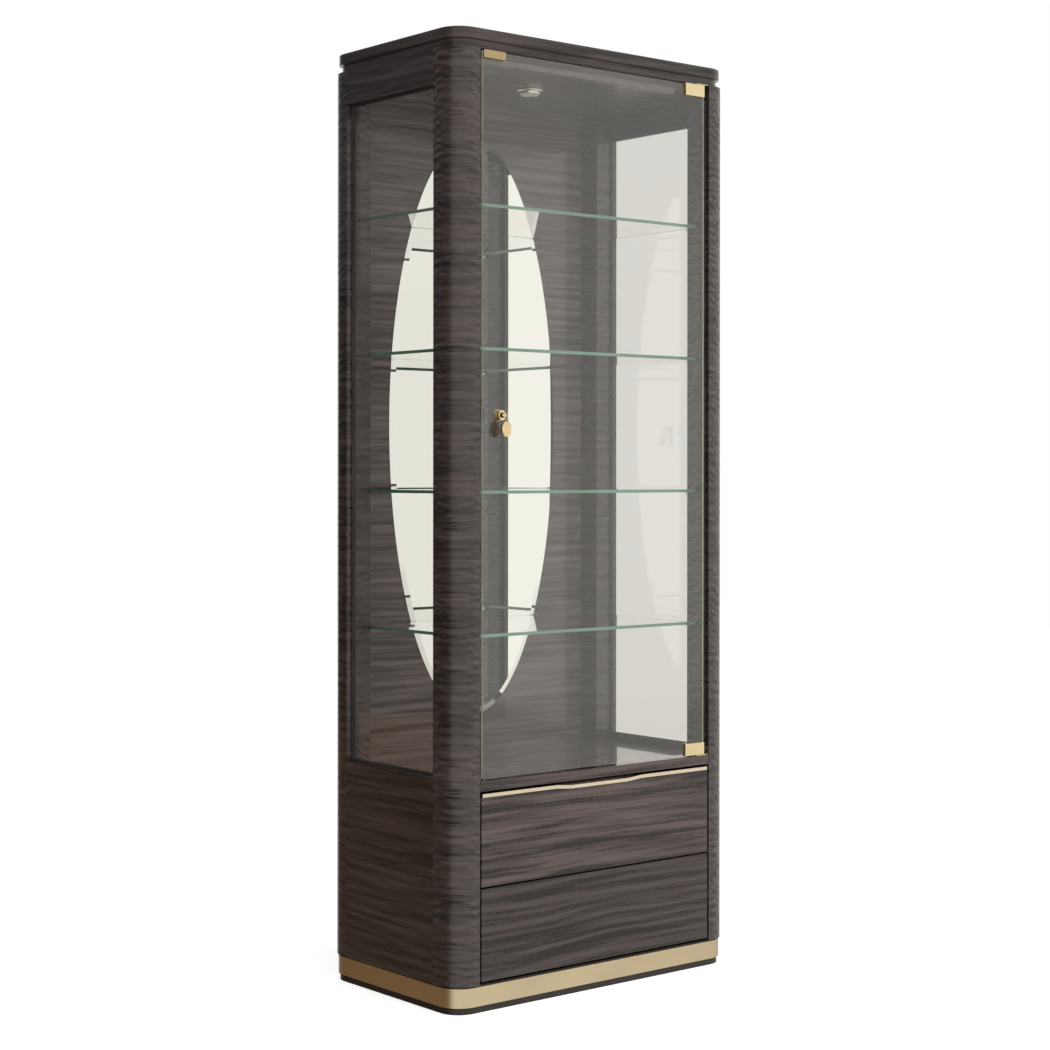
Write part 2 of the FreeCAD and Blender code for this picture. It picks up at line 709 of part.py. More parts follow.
def make_light():
    ceiling = "dim.ceiling_bottom"
    can = disc("dim.light_radius", "0", "dim.light_back", (ceiling + " - dim.light_height", ceiling))
    well = disc("dim.light_radius - dim.light_wall", "0", "dim.light_back",
                (ceiling + " - dim.light_height - 1",
                 ceiling + " - dim.light_height + dim.lens_recess + dim.lens_thickness"))
    finish(cut(can, well), "light_housing")
    lens_bottom = ceiling + " - dim.light_height + dim.lens_recess"
    finish(disc("dim.light_radius - dim.light_wall", "0", "dim.light_back",
                (lens_bottom, lens_bottom + " + dim.lens_thickness")), "light_lens")


# --- drawers ---------------------------------------------------------------------------------

def scoop_edge(level):
    """Half of the dipped edge of the scoop, from the middle outwards, below a level."""
    return [("(dim.scoop_half_width - dim.scoop_slope)", "%s - dim.scoop_depth" % level),
            ("dim.scoop_half_width", level)]


def both_hands(points):
    """The points on the right followed by their mirror images on the left."""
    return points + [("-" + x, z) for x, z in reversed(points)]


def upright_prism(points, depth):
    """An outline on the XZ plane, carried forward by depth."""
    body = doc.addObject("PartDesign::Body", "Body")
    sketch = new_sketch(body, "XZ_Plane")
    outline(sketch, points)
    pad(body, sketch, depth)
    return body


def make_pull():
    """The brass strip along the top of the upper front, scooped in the middle for the fingers."""
    strip = upright_prism(
        both_hands(scoop_edge("0") + [("dim.pull_half_width", "0"),
                                      ("dim.pull_half_width", "dim.pull_height")]),
        "dim.pull_depth")
    place(strip, "0", "%s - dim.pull_proud + dim.pull_depth" % FRONT, "dim.upper_front_top")
    flat = "(dim.scoop_half_width - dim.scoop_slope)"
    scoop = doc.addObject("Part::Wedge", "Scoop")
    for name, value in (("Xmin", "-" + flat), ("Xmax", flat), ("Ymin", "-dim.scoop_depth"),
                        ("Ymax", "0"), ("Zmin", "-dim.scoop_floor"), ("Zmax", "1"),
                        ("X2min", "-dim.scoop_half_width"), ("X2max", "dim.scoop_half_width"),
                        ("Z2min", "-dim.scoop_reach"), ("Z2max", "1")):
        scoop.setExpression(name, value)
    turned(scoop, FreeCAD.Vector(1, 0, 0), 90)
    place(scoop, "0", "%s - dim.pull_proud" % FRONT, "dim.upper_front_top + dim.pull_height")
    finish(cut(strip, scoop), "upper_drawer_pull")


def make_notched_front():
    """The upper drawer front, dipped along its top edge to take the scooped strip."""
    front = eased_front("dim.upper_front_bottom", "dim.upper_front_top", "dim.front_half_width",
                        "dim.front_thickness")
    dip = upright_prism(both_hands(scoop_edge("0") + [("dim.scoop_half_width", "1")]),
                        "dim.front_thickness + 2")
    place(dip, "0", FRONT_REAR + " + 1", "dim.upper_front_top")
    finish(cut(front, dip), "upper_drawer_front")


def make_drawer(name, front_bottom, front_top):
    bottom = "(%s + dim.drawer_lift)" % front_bottom
    top = "(%s - dim.drawer_drop)" % front_top
    rear = "(%s + dim.drawer_length)" % FRONT_REAR
    runner_z = ("(%s + dim.runner_rise)" % bottom,
                "(%s + dim.runner_rise + dim.runner_height)" % bottom)
    inner = "(dim.drawer_half_width - dim.drawer_side)"
    runners = []
    for hand, side in (("left", -1), ("right", 1)):
        plank = block(mirrored(side, inner, "dim.drawer_half_width"), (FRONT_REAR, rear),
                      (bottom, top))
        groove = block(mirrored(side, "dim.drawer_half_width - dim.groove_depth",
                                "dim.drawer_half_width + 1"),
                       (FRONT_REAR + " - 1", rear + " + 1"),
                       (runner_z[0] + " - dim.groove_play", runner_z[1] + " + dim.groove_play"))
        finish(cut(plank, groove), "%s_drawer_%s_side" % (name, hand))
        runner_x = mirrored(
            side, "dim.drawer_half_width - dim.groove_depth + dim.runner_gap", POST_INNER)
        runners.append(block(runner_x, (FRONT + " + dim.runner_end", BACK + " - dim.runner_end"),
                             runner_z))
    board(name + "_drawer_back", ("-" + inner, inner), (rear + " - dim.drawer_side", rear),
          (bottom, top))
    floor = bottom + " + dim.drawer_floor_rise"
    board(name + "_drawer_bottom", ("-" + inner, inner), (FRONT_REAR, rear + " - dim.drawer_side"),
          (floor, floor + " + dim.drawer_floor"))
    finish(group(*runners), name + "_drawer_runners")


def main():
    make_plinth()
    make_band()
    make_carcase()
    make_side_glazing("left", -1)
    make_side_glazing("right", 1)
    make_door_glass()
    make_hinge_clamp("upper_hinge_clamp", True)
    make_hinge_clamp("lower_hinge_clamp", False)
    make_bearing_plates()
    make_catch()
    make_stops()
    make_lock()
    make_key()
    make_fob()
    make_shelves()
    make_mirror()
    make_light()
    finish(eased_front("dim.lower_front_bottom", "dim.lower_front_top", "dim.front_half_width",
                       "dim.front_thickness"), "lower_drawer_front")
    make_drawer("lower", "dim.lower_front_bottom", "dim.lower_front_top")
    make_notched_front()
    make_pull()
    make_drawer("upper", "dim.upper_front_bottom", "dim.upper_front_top")
    doc.recompute()
    for thing in doc.Objects:
        if "Invalid" in thing.State or "Error" in thing.State:
            raise RuntimeError("%s did not compute" % thing.Name)
    os.makedirs("parts", exist_ok=True)
    for thing in FINISHED:
        if thing.Shape.isNull() or not thing.Shape.isValid():
            raise RuntimeError("%s has no valid shape" % thing.Label)
        thing.Shape.exportStep("parts/%s.step" % thing.Label)


main()
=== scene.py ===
"""Looks of the china cabinet: veneers, brass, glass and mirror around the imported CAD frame."""

import math

import bmesh
import bpy
from mathutils import Matrix, Vector


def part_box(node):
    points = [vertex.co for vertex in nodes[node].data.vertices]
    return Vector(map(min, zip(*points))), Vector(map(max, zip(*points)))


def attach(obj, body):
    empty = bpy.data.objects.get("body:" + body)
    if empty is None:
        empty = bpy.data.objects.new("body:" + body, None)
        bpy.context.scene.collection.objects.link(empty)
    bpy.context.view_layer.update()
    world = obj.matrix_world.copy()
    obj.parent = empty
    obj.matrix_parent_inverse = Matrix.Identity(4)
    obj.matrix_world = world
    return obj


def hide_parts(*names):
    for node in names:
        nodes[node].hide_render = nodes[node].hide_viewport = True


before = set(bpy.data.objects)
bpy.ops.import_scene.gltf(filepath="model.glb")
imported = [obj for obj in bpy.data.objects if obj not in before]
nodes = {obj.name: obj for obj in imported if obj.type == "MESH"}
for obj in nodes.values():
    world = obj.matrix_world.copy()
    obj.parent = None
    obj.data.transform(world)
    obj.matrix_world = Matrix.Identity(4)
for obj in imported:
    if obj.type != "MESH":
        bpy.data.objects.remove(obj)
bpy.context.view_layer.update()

MM = 0.001
TURN = 2 * math.pi


# --- shader helpers --------------------------------------------------------------------------

class Shader:
    """The node tree of a material or a world under construction, and short ways to wire it."""

    def __init__(self, owner, output="ShaderNodeOutputMaterial"):
        self.owner = owner
        owner.use_nodes = True
        self.tree = owner.node_tree
        self.tree.nodes.clear()
        self.out = self.add(output)

    def add(self, kind, **settings):
        node = self.tree.nodes.new(kind)
        for key, value in settings.items():
            setattr(node, key, value)
        return node

    def link(self, source, target):
        self.tree.links.new(source, target)

    def feed(self, socket, value):
        """Link value if it is another node's output, or else set it as a constant."""
        if isinstance(value, bpy.types.NodeSocket):
            self.link(value, socket)
        else:
            socket.default_value = value

    def feed_colour(self, socket, colour):
        """As feed, with a constant given as red, green and blue."""
        self.feed(socket, (*colour, 1) if isinstance(colour, tuple) else colour)

    def math(self, operation, *values):
        node = self.add("ShaderNodeMath", operation=operation)
        for socket, value in zip(node.inputs, values):
            self.feed(socket, value)
        return node.outputs[0]

    def plus(self, first, second):
        return self.math("ADD", first, second)

    def minus(self, first, second):
        return self.math("SUBTRACT", first, second)

    def times(self, first, second):
        return self.math("MULTIPLY", first, second)

    def position(self):
        return self.add("ShaderNodeTexCoord").outputs["Object"]

    def normal(self):
        return self.add("ShaderNodeTexCoord").outputs["Normal"]

    def split(self, vector):
        node = self.add("ShaderNodeSeparateXYZ")
        self.link(vector, node.inputs[0])
        return node.outputs

    def join(self, x, y, z):
        node = self.add("ShaderNodeCombineXYZ")
        for socket, value in zip(node.inputs, (x, y, z)):
            self.feed(socket, value)
        return node.outputs[0]

    def noise(self, place, scale, shift=(0, 0, 0), detail=2, roughness=0.5, distortion=0.0):
        """Noise whose scale is how many lumps it has to the metre along each axis."""
        mapping = self.add("ShaderNodeMapping")
        self.link(place, mapping.inputs["Vector"])
        mapping.inputs["Scale"].default_value = scale
        mapping.inputs["Location"].default_value = shift
        node = self.add("ShaderNodeTexNoise")
        self.link(mapping.outputs[0], node.inputs["Vector"])
        for key, number in (("Scale", 1.0), ("Detail", detail), ("Roughness", roughness),
                            ("Distortion", distortion)):
            node.inputs[key].default_value = number
        return node.outputs["Fac"]

    def even_noise(self, scale, detail=2):
        """Noise over the object's own position, as fine along every axis."""
        return self.noise(self.position(), (scale, scale, scale), detail=detail)

    def streaks(self, place, along, across, shift=(0, 0), **settings):
        """Noise on a flat pattern, with so many streaks to the metre along it and across it."""
        return self.noise(place, (along, across, 1), (*shift, 0), **settings)

    def waves(self, level, per_metre, wander, reach):
        """A sine up the level, put out of step by wander times reach."""
        return self.math("SINE", self.plus(self.times(level, TURN * per_metre),
                                           self.times(wander, reach)))

    def remap(self, value, low, high, to_low=0.0, to_high=1.0, smooth=False):
        node = self.add("ShaderNodeMapRange")
        if smooth:
            node.interpolation_type = "SMOOTHSTEP"
        for key, number in (("From Min", low), ("From Max", high),
                            ("To Min", to_low), ("To Max", to_high)):
            node.inputs[key].default_value = number
        self.feed(node.inputs["Value"], value)
        return node.outputs[0]

    def ramp(self, value, *stops):
        node = self.add("ShaderNodeValToRGB")
        elements = node.color_ramp.elements
        while len(elements) < len(stops):
            elements.new(0.5)
        for element, (place, colour) in zip(elements, stops):
            element.position = place
            element.color = (*colour, 1)
        self.feed(node.inputs[0], value)
        return node.outputs[0]

    def mix(self, share, first, second):
        node = self.add("ShaderNodeMix", data_type="RGBA")
        self.feed(node.inputs[0], share)
        self.feed_colour(node.inputs[6], first)
        self.feed_colour(node.inputs[7], second)
        return node.outputs[2]

    def mix_numbers(self, share, first, second):
        node = self.add("ShaderNodeMix", data_type="FLOAT")
        for number, value in ((0, share), (2, first), (3, second)):
            self.feed(node.inputs[number], value)
        return node.outputs[0]

    def mix_shaders(self, share, first, second):
        node = self.add("ShaderNodeMixShader")
        for socket, value in zip(node.inputs, (share, first, second)):
            self.link(value, socket)
        return node.outputs[0]

    def bump(self, height, distance, strength=1.0):
        node = self.add("ShaderNodeBump")
        node.inputs["Strength"].default_value = strength
        node.inputs["Distance"].default_value = distance
        self.link(height, node.inputs["Height"])
        return node.outputs[0]

    def principled(self, colour, **sockets):
        node = self.add("ShaderNodeBsdfPrincipled")
        self.feed_colour(node.inputs["Base Color"], colour)
        for key, value in sockets.items():
            self.feed(node.inputs[key.replace("_", " ")], value)
        return node.outputs[0]

    def finish(self, shader):
        self.link(shader, self.out.inputs[0])
        return self.owner


def new_material(name):
    return Shader(bpy.data.materials.new(name))


# --- wood ------------------------------------------------------------------------------------

def veneer(name, run, curl, broken, light, dark, shine=0.15, coat=1.0):
    """Dark fiddleback veneer under clear lacquer, its figure level round the case.

    run is how many figure lengths there are to the metre, curl how strong the short ripples are
    that catch the light, and broken how far the dark lines break into dashes.
    """
    s = new_material(name)

    # On an upright face the figure lies level and runs on round the corner, so that y counts along
    # it nearly as much as x. On a level board it runs from side to side.
    x, y, z = s.split(s.position())
    on_board = s.remap(s.math("ABSOLUTE", s.split(s.normal())[2]), 0.6, 0.8)
    upright_share, board_share = 0.83, 0.04
    along = s.plus(x, s.times(y, s.remap(on_board, 0, 1, upright_share, board_share)))
    across = s.mix_numbers(on_board, z, y)
    place = s.join(along, across, 0.0)
    sway_height = 0.03
    sway = s.streaks(place, along=1.7, across=4, shift=(3, 1))
    level = s.plus(across, s.times(sway, sway_height))
    swayed = s.join(along, level, 0.0)

    # The still figure: bands, wide and thin, fine grain, and lines in patches.
    bands = s.streaks(swayed, along=run, across=74, detail=4, roughness=0.6, distortion=0.1)
    thin = s.streaks(swayed, along=run * 2, across=230, shift=(4, 3), detail=3, roughness=0.6)
    wide = s.streaks(swayed, along=run * 0.3, across=12, shift=(7, 2))
    grain = s.streaks(place, along=700, across=60, detail=3, roughness=0.7)
    wander = s.streaks(place, along=1.3, across=7, shift=(8, 6))
    lines = s.waves(level, 54, wander, 16)
    patches = s.remap(s.streaks(place, along=2, across=6, shift=(2, 8), detail=1), 0.4, 0.6, 0.2, 1)

    # The curl: level ripples whose slope changes sides along the figure.
    stray = s.streaks(swayed, along=14, across=20, shift=(1, 9))
    rise = s.waves(level, 55, stray, 11)
    tilt = s.minus(s.streaks(swayed, along=40, across=17, shift=(6, 2), detail=1), 0.5)
    ripple = s.times(rise, s.times(tilt, 2))

    figure = s.times(bands, 0.62)
    for part, weight in ((wide, 0.18), (thin, 0.20), (grain, 0.05), (s.times(lines, patches), 0.022),
                         (ripple, curl * 0.05)):
        figure = s.plus(figure, s.times(part, weight))
    dashes = s.remap(s.streaks(swayed, along=120, across=150, shift=(2, 5), roughness=0.6), 0.47, 0.6)
    dim = s.remap(figure, 0.54, 0.47, 0, broken * 0.05)
    figure = s.minus(figure, s.times(dim, dashes))

    dark_at, middle_at, light_at = 0.43, 0.52, 0.61
    middle = tuple((bright + deep) * 0.5 for bright, deep in zip(light, dark))
    colour = s.ramp(figure, (dark_at, dark), (middle_at, middle), (light_at, light))
    ripple_height = 3.6 * MM * curl
    return s.finish(s.principled(
        colour, Roughness=s.remap(figure, 0.42, 0.62, 0.28, 0.2), Specular_IOR_Level=shine,
        Coat_Weight=coat, Coat_Roughness=0.035, Coat_IOR=1.36, Normal=s.bump(ripple, ripple_height)))


def plain_wood(name, light, dark, roughness=0.45):
    """Straight-grained board for the parts inside the case."""
    s = new_material(name)
    place = s.position()
    grain = s.noise(place, (60, 2.5, 90), detail=5, roughness=0.6, distortion=0.3)
    pores = s.noise(place, (700, 25, 900), roughness=0.7)
    value = s.plus(s.times(grain, 0.75), s.times(pores, 0.25))
    return s.finish(s.principled(
        s.ramp(value, (0.35, dark), (0.65, light)),
        Roughness=s.remap(value, 0.3, 0.7, roughness + 0.1, roughness - 0.08),
        Normal=s.bump(value, 0.2 * MM, 0.5)))


def lacquer(name, colour):
    """Sprayed lacquer with a faint orange peel and a little dust on it."""
    s = new_material(name)
    clean, dusty_extra = 0.42, 0.14
    dust = s.noise(s.position(), (14, 14, 30), detail=4, roughness=0.7)
    dusty = tuple(channel * 1.9 + 0.004 for channel in colour)
    return s.finish(s.principled(
        s.mix(s.remap(dust, 0.45, 0.75), colour, dusty),
        Roughness=s.remap(dust, 0.3, 0.7, clean, clean + dusty_extra),
        Normal=s.bump(s.even_noise(420), 0.2 * MM, 0.25)))


# --- metal -----------------------------------------------------------------------------------

def brushed(name, colour, along, roughness):
    """Satin metal brushed along one axis of the frame, a little tarnished in clouds."""
    s = new_material(name)
    lines_across, lines_along, tarnish = 2600, 16, 0.12
    fineness = [lines_along if axis == along else lines_across for axis in "xyz"]
    lines = s.noise(s.position(), fineness, roughness=0.6)
    cloud = s.noise(s.position(), (4, 4, 9))
    tarnished = tuple(channel * (1 - tarnish) for channel in colour)
    satin = s.remap(lines, 0.3, 0.7, roughness - 0.03, roughness + 0.04)
    return s.finish(s.principled(
        s.mix(s.remap(cloud, 0.35, 0.7), colour, tarnished), Metallic=1.0,
        Roughness=s.plus(satin, s.remap(cloud, 0.3, 0.7, -0.02, 0.03)),
        Normal=s.bump(lines, 0.03 * MM, 0.3)))


def silvering(name):
    s = new_material(name)
    haze = s.remap(s.even_noise(14, detail=3), 0.5, 0.8, 0.004, 0.016)
    return s.finish(s.principled((0.93, 0.94, 0.92), Metallic=1.0, Roughness=haze))


# --- glass and rubber ------------------------------------------------------------------------

def pane(name, face_axis, tint, edge, edge_glow, ior=1.5):
    """Clear sheet glass with green ground edges. face_axis is the axis its large faces look along.

    Shadow, diffuse and mirrored rays go straight through the faces, dimmed by the tint. A mirrored
    ray does so only if it entered the sheet from outside: one mirrored inside the sheet stays in
    the glass.
    """
    s = new_material(name)
    clear = s.principled(tint, Roughness=0.0, IOR=ior, Transmission_Weight=1.0)
    straight = s.add("ShaderNodeBsdfTransparent")
    s.feed_colour(straight.inputs[0], tuple(channel * 0.98 for channel in tint))
    rays = s.add("ShaderNodeLightPath").outputs
    from_outside = s.minus(1.0, s.add("ShaderNodeNewGeometry").outputs["Backfacing"])
    already_through = s.math("GREATER_THAN", rays["Transparent Depth"], 0.5)
    entered = s.math("MAXIMUM", from_outside, already_through)
    mirrored = s.minus(rays["Is Glossy Ray"], rays["Is Transmission Ray"])
    soft = s.math("MAXIMUM", rays["Is Shadow Ray"], rays["Is Diffuse Ray"])
    passes = s.math("MAXIMUM", soft, s.times(mirrored, entered))
    face = s.mix_shaders(passes, clear, straight.outputs[0])

    ground = s.even_noise(260)
    glow = s.remap(s.even_noise(5), 0.35, 0.65)
    rim = s.principled(s.mix(glow, edge, edge_glow), Roughness=s.remap(ground, 0.3, 0.7, 0.12, 0.3),
                       Coat_Weight=0.6, Coat_Roughness=0.08, Normal=s.bump(ground, 0.1 * MM, 0.3))
    facing = s.math("ABSOLUTE", s.split(s.normal())["xyz".index(face_axis)])
    on_edge = s.remap(facing, 0.55, 0.85, 1.0, 0.0)
    return s.finish(s.mix_shaders(on_edge, face, rim))


def rubber(name):
    s = new_material(name)
    bloom = s.noise(s.position(), (18, 18, 9), detail=3)
    colour = s.mix(s.remap(bloom, 0.4, 0.7), (0.030, 0.026, 0.025), (0.055, 0.048, 0.046))
    return s.finish(s.principled(colour, Roughness=s.remap(bloom, 0.3, 0.7, 0.45, 0.62),
                                 Normal=s.bump(s.even_noise(900), 0.1 * MM, 0.5)))


def frosted(name):
    s = new_material(name)
    prisms = s.even_noise(700, detail=1)
    return s.finish(s.principled((0.86, 0.85, 0.81), Roughness=s.remap(prisms, 0.3, 0.7, 0.25, 0.45),
                                 Transmission_Weight=0.35, Normal=s.bump(prisms, 0.3 * MM, 0.6)))


BRASS = (0.64, 0.525, 0.355)
CLEAR_TINT = (0.980, 0.977, 0.965)

MATERIALS = {
    "post": veneer("post_veneer", run=14.0, curl=1.7, broken=0.2, light=(0.058, 0.041, 0.040),
                   dark=(0.013, 0.0085, 0.0088), shine=0.55, coat=0.3),
    "rear_post": veneer("rear_veneer", run=9.0, curl=0.5, broken=0.2, light=(0.054, 0.039, 0.040),
                        dark=(0.012, 0.0080, 0.0083), shine=0.3, coat=0.7),
    # A darker copy of the front veneer: painted shade, for the sides and top rails, which get less light
    # than the front.
    "side": veneer("shaded_side_veneer", run=3.4, curl=0.3, broken=0.3, light=(0.056, 0.040, 0.042),
                   dark=(0.009, 0.0061, 0.0065)),
    "front": veneer("front_veneer", run=2.6, curl=0.25, broken=1.0, light=(0.094, 0.069, 0.066),
                    dark=(0.011, 0.0070, 0.0072)),
    "low_front": veneer("lower_veneer", run=2.0, curl=0.25, broken=1.0, light=(0.064, 0.047, 0.046),
                        dark=(0.008, 0.0052, 0.0054)),
    "top": veneer("top_veneer", run=5.0, curl=0.2, broken=0.3, light=(0.053, 0.038, 0.039),
                  dark=(0.009, 0.0058, 0.0059)),
    "inside": veneer("inside_veneer", run=2.4, curl=0.2, broken=0.3, light=(0.122, 0.095, 0.093),
                     dark=(0.026, 0.019, 0.019)),
    "ceiling": veneer("ceiling_veneer", run=2.4, curl=0.2, broken=0.1, light=(0.100, 0.080, 0.076),
                      dark=(0.040, 0.031, 0.029), shine=0.1, coat=0.12),
    "board": plain_wood("carcase_board", (0.050, 0.036, 0.030), (0.020, 0.014, 0.012)),
    "strip": plain_wood("stop_strip_wood", (0.095, 0.083, 0.077), (0.052, 0.045, 0.042)),
    "drawer": plain_wood("drawer_maple", (0.40, 0.29, 0.185), (0.24, 0.16, 0.095), roughness=0.4),
    "plinth": lacquer("black_plinth", (0.010, 0.0075, 0.006)),
    "runner": lacquer("runner_plastic", (0.018, 0.018, 0.018)),
    "brass_x": brushed("brass_along_x", BRASS, along="x", roughness=0.30),
    "brass_y": brushed("brass_along_y", BRASS, along="y", roughness=0.30),
    "fitting": brushed("fitting_brass", (0.80, 0.665, 0.40), along="x", roughness=0.2),
    "fob": brushed("polished_brass", (0.80, 0.65, 0.40), along="z", roughness=0.13),
    # A darker copy of the fitting brass for the catch plate: painted shade, for its dimmer look behind the
    # door glass.
    "shaded_fitting": brushed("shaded_fitting_brass", (0.50, 0.37, 0.21), along="x", roughness=0.3),
    "pull": brushed("pull_brass", (0.76, 0.66, 0.51), along="x", roughness=0.24),
    # Near-black metal for the lock plug and strike: a painted reflection, standing for the key fob's dark
    # mirror image in the door glass.
    "reflection_dark": brushed("painted_reflection_dark_metal", (0.035, 0.031, 0.026), along="z", roughness=0.35),
    "steel": brushed("steel", (0.78, 0.75, 0.70), along="x", roughness=0.16),
    "mirror": silvering("silvering"),
    # The door's pale edge colours are a painted highlight: its polished edge lit by the white in front,
    # where the other panes keep plain dark green edges.
    "door": pane("door_glass", "y", CLEAR_TINT, edge=(0.72, 0.78, 0.58), edge_glow=(0.90, 0.94, 0.76),
                 ior=1.56),
    "pane": pane("side_glass", "x", CLEAR_TINT, edge=(0.10, 0.20, 0.14), edge_glow=(0.2, 0.34, 0.25)),
    "shelf": pane("shelf_glass", "z", (0.975, 0.985, 0.975), edge=(0.055, 0.145, 0.095),
                  edge_glow=(0.10, 0.225, 0.16)),
    "rubber": rubber("black_rubber"),
    "lens": frosted("light_lens"),
}

FINISH = {
    "post": ["front_left_post", "front_right_post"],
    "rear_post": ["rear_left_post", "rear_right_post"],
    "side": ["left_lower_side", "right_lower_side", "left_top_rail", "right_top_rail"],
    "front": ["upper_drawer_front", "front_rail"],
    "low_front": ["lower_drawer_front"],
    "top": ["neck_board", "top_slab"],
    "inside": ["back_panel", "display_floor"],
    "ceiling": ["ceiling_board"],
    "board": ["bottom_board"],
    "strip": ["door_stop_strip"],
    "drawer": [f"{drawer}_drawer_{board}" for drawer in ("upper", "lower")
               for board in ("left_side", "right_side", "back", "bottom")],
    "plinth": ["plinth_frame"],
    "runner": ["upper_drawer_runners", "lower_drawer_runners", "catch_magnet"],
    "brass_x": ["brass_band_front", "brass_band_back", "brass_band_corners"],
    "brass_y": ["brass_band_left", "brass_band_right"],
    "fitting": ["upper_hinge_clamp", "lower_hinge_clamp", "hinge_bearing_plates",
                "lock_housing", "door_key", "key_ring", "key_fob"],
    "shaded_fitting": ["catch_plate"],
    "reflection_dark": ["lock_plug", "lock_strike"],
    "pull": ["upper_drawer_pull"],
    "steel": ["light_housing", "shelf_pins"],
    "mirror": ["oval_mirror"],
    "door": ["door_glass"],
    "pane": ["left_side_pane", "right_side_pane"],
    "shelf": [f"glass_shelf_{number}" for number in range(1, 5)],
    "rubber": ["left_pane_gasket", "right_pane_gasket", "door_edge_seals"],
    "lens": ["light_lens"],
}
for finish, members in FINISH.items():
    for member in members:
        data = nodes[member].data
        data.materials.clear()
        data.materials.append(MATERIALS[finish])


# --- detailed pieces -------------------------------------------------------------------------

ROUND_STEPS = 72
BEAD_STEPS = 12


def piece(name, shape, sharp, material, body, replaced):
    """Put a bmesh in the scene as a finer piece in place of a CAD node."""
    mesh = smooth_mesh(name, shape, sharp)
    mesh.materials.append(MATERIALS[material])
    thing = bpy.data.objects.new(name, mesh)
    bpy.context.scene.collection.objects.link(thing)
    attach(thing, body)
    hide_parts(replaced)


def smooth_mesh(name, shape, sharp):
    """A bmesh turned into a mesh, smooth but for edges that turn by more than sharp degrees."""
    bmesh.ops.recalc_face_normals(shape, faces=shape.faces)
    for edge in shape.edges:
        edge.smooth = len(edge.link_faces) == 2 and edge.calc_face_angle() < math.radians(sharp)
    for face in shape.faces:
        face.smooth = True
    mesh = bpy.data.meshes.new(name)
    shape.to_mesh(mesh)
    shape.free()
    return mesh


def skin(shape, rings, closed):
    """Join rings of points, each to the next, and the last to the first or else a cap on both ends."""
    rows = [[shape.verts.new(point) for point in ring] for ring in rings]
    pairs = list(zip(rows, rows[1:]))
    if closed:
        pairs.append((rows[-1], rows[0]))
    else:
        shape.faces.new(rows[0])
        shape.faces.new(rows[-1])
    for first, second in pairs:
        for here in range(len(first)):
            there = (here + 1) % len(first)
            shape.faces.new((first[here], first[there], second[there], second[here]))


def circle(steps):
    """The cosine and sine of each step round a circle."""
    return [(math.cos(TURN * step / steps), math.sin(TURN * step / steps)) for step in range(steps)]


def level_ring(centre, radius, z):
    return [(centre.x + radius * across, centre.y + radius * back, z)
            for across, back in circle(ROUND_STEPS)]


def upright_oval(centre, half_width, half_height, y):
    return [(centre.x + half_width * across, y, centre.z + half_height * up)
            for across, up in circle(ROUND_STEPS)]


def puck_light():
    """A turned ring in two steps with a domed lens, under the ceiling board.

    Both outlines are lists of (radius, drop below the board) in millimetres.
    """
    low, high = (Vector(corner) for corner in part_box("light_housing"))
    centre = (low + high) / 2

    def turned(outline, closed):
        shape = bmesh.new()
        skin(shape, [level_ring(centre, radius * MM, high.z - drop * MM) for radius, drop in outline],
             closed)
        return shape

    flange = [(29.4, 0), (29.9, 0.6), (29.9, 2.4), (29.2, 3.3), (26.2, 4.0), (25.2, 4.8), (25.0, 6.0)]
    lip = [(25.0, 9.0), (24.5, 10.2), (23.3, 11.0), (21.6, 11.2), (20.0, 10.6), (19.3, 9.4)]
    lens_radius, lens_top, lens_edge, dome_depth = 19.2, 7.0, 8.4, 3.6
    ring = turned([(lens_radius, 0)] + flange + lip, True)
    piece("light_ring", ring, 50, "steel", "case", "light_housing")

    dome = [(lens_radius * math.cos(TURN * share / 4), lens_edge + dome_depth * math.sin(TURN * share / 4))
            for share in (0.2, 0.4, 0.6, 0.8, 0.93)]
    lens = turned([(lens_radius, lens_top), (lens_radius, lens_edge)] + dome, False)
    piece("light_dome", lens, 32, "lens", "case", "light_lens")


def medallion(shape, centre, half_width, half_height, front):
    """An oval with a raised rim round a sunk field on both faces.

    Its outline is a list of (inset from the edge, depth behind the face) in millimetres.
    """
    thickness, front_field, back_field = 7.0, 0.9, 0.3
    rounding = [(1.2, 0.0), (0.35, 0.6), (0.0, 1.8)]
    face = [(11.0, front_field), (3.2, front_field), (2.6, front_field)] + rounding
    back = [(11.0, back_field), (2.4, back_field)] + rounding
    outline = face + [(inset, thickness - depth) for inset, depth in reversed(back)]
    skin(shape, [upright_oval(centre, half_width - inset * MM, half_height - inset * MM,
                              front + depth * MM) for inset, depth in outline], False)


def reeds(shape, centre, half_height, front):
    """Five upright reeds with tapered ends on the sunk field, shorter toward its sides."""
    pitch, half_field, clearance = 2.9, 10.5, 4.6
    half_width, depth, flatness = 1.05, 0.95, 0.8
    lower_end = [(-1, 0.25), (-0.9, 0.8), (-0.7, 1)]
    taper = lower_end + [(-height, width) for height, width in reversed(lower_end)]
    for number in range(-2, 3):
        x = centre.x + number * pitch * MM
        y = front + depth * MM
        half_length = (half_height - clearance * MM) * math.sqrt(1 - (number * pitch / half_field) ** 2)
        rings = []
        for height, share in taper:
            width = half_width * MM * share
            rings.append([(x + width * across, y - flatness * width * out, centre.z + half_length * height)
                          for across, out in circle(BEAD_STEPS)])
        skin(shape, rings, False)


def eyelet(shape, eye):
    """A small ring of round wire that faces sideways."""
    radius, wire_radius, ring_steps = 1.9, 0.6, 36
    rings = []
    for back, up in circle(ring_steps):
        out = Vector((0, back, up))
        rings.append([tuple(eye + out * (radius + wire_radius * outward) * MM
                            + Vector((wire_radius * MM * sideways, 0, 0)))
                      for outward, sideways in circle(BEAD_STEPS)])
    skin(shape, rings, True)


